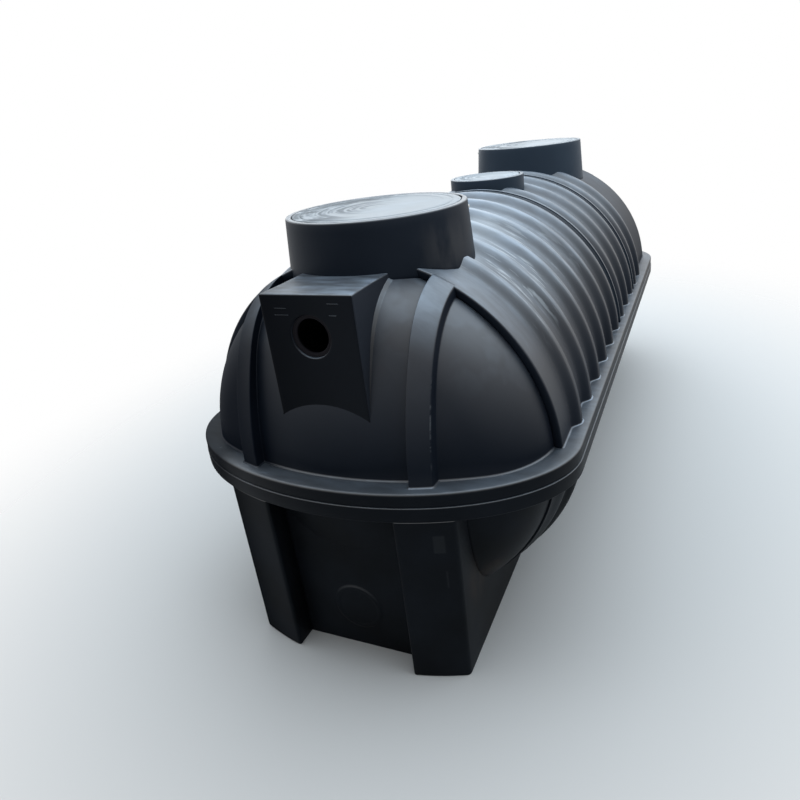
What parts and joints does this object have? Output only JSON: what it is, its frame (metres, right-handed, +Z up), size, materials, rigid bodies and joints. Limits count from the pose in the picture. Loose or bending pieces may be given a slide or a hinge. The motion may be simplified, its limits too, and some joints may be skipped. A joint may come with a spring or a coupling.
{
  "type": "septic tank",
  "caption": "Horizontal moulded plastic septic tank with a ribbed barrel, domed ends, manhole necks, inlet and outlet boxes and a pedestal base.",
  "frame": {"origin": "on the ground under the middle of the tank", "axes": "+Y along the tank from the inlet end to the outlet end, +Z up, +X to the right seen from the inlet end"},
  "size_m": [1.5, 3.554, 1.545],
  "materials": {
    "hull": "moulded black polyethylene, satin, dusty on top",
    "lid": "moulded black polyethylene, flat and satin",
    "seal": "black pipe seal, matt"
  },
  "bodies": {
    "root": {"front_dome": "hull", "front_leg_left": "hull", "front_leg_right": "hull", "front_lid": "lid", "front_neck": "hull", "front_recess_panel": "hull", "front_strap_left": "hull", "front_strap_right": "hull", "inlet_box": "hull", "inlet_seal": "seal", "lower_barrel_left": "hull", "lower_barrel_right": "hull", "lower_cheek_front_left": "hull", "lower_cheek_front_right": "hull", "lower_cheek_rear_left": "hull", "lower_cheek_rear_right": "hull", "lower_flange": "hull", "middle_lid": "lid", "middle_neck": "hull", "outlet_box": "hull", "outlet_seal": "seal", "pedestal_floor": "hull", "pedestal_side_left": "hull", "pedestal_side_right": "hull", "rear_dome": "hull", "rear_leg_left": "hull", "rear_leg_right": "hull", "rear_lid": "lid", "rear_neck": "hull", "rear_recess_panel": "hull", "rear_strap_left": "hull", "rear_strap_right": "hull", "seam_band_middle": "hull", "seam_band_rear": "hull", "upper_barrel_front_left": "hull", "upper_barrel_front_right": "hull", "upper_barrel_middle_left": "hull", "upper_barrel_middle_right": "hull", "upper_barrel_rear_left": "hull", "upper_barrel_rear_right": "hull", "upper_flange": "hull"}
  },
  "joints": []
}
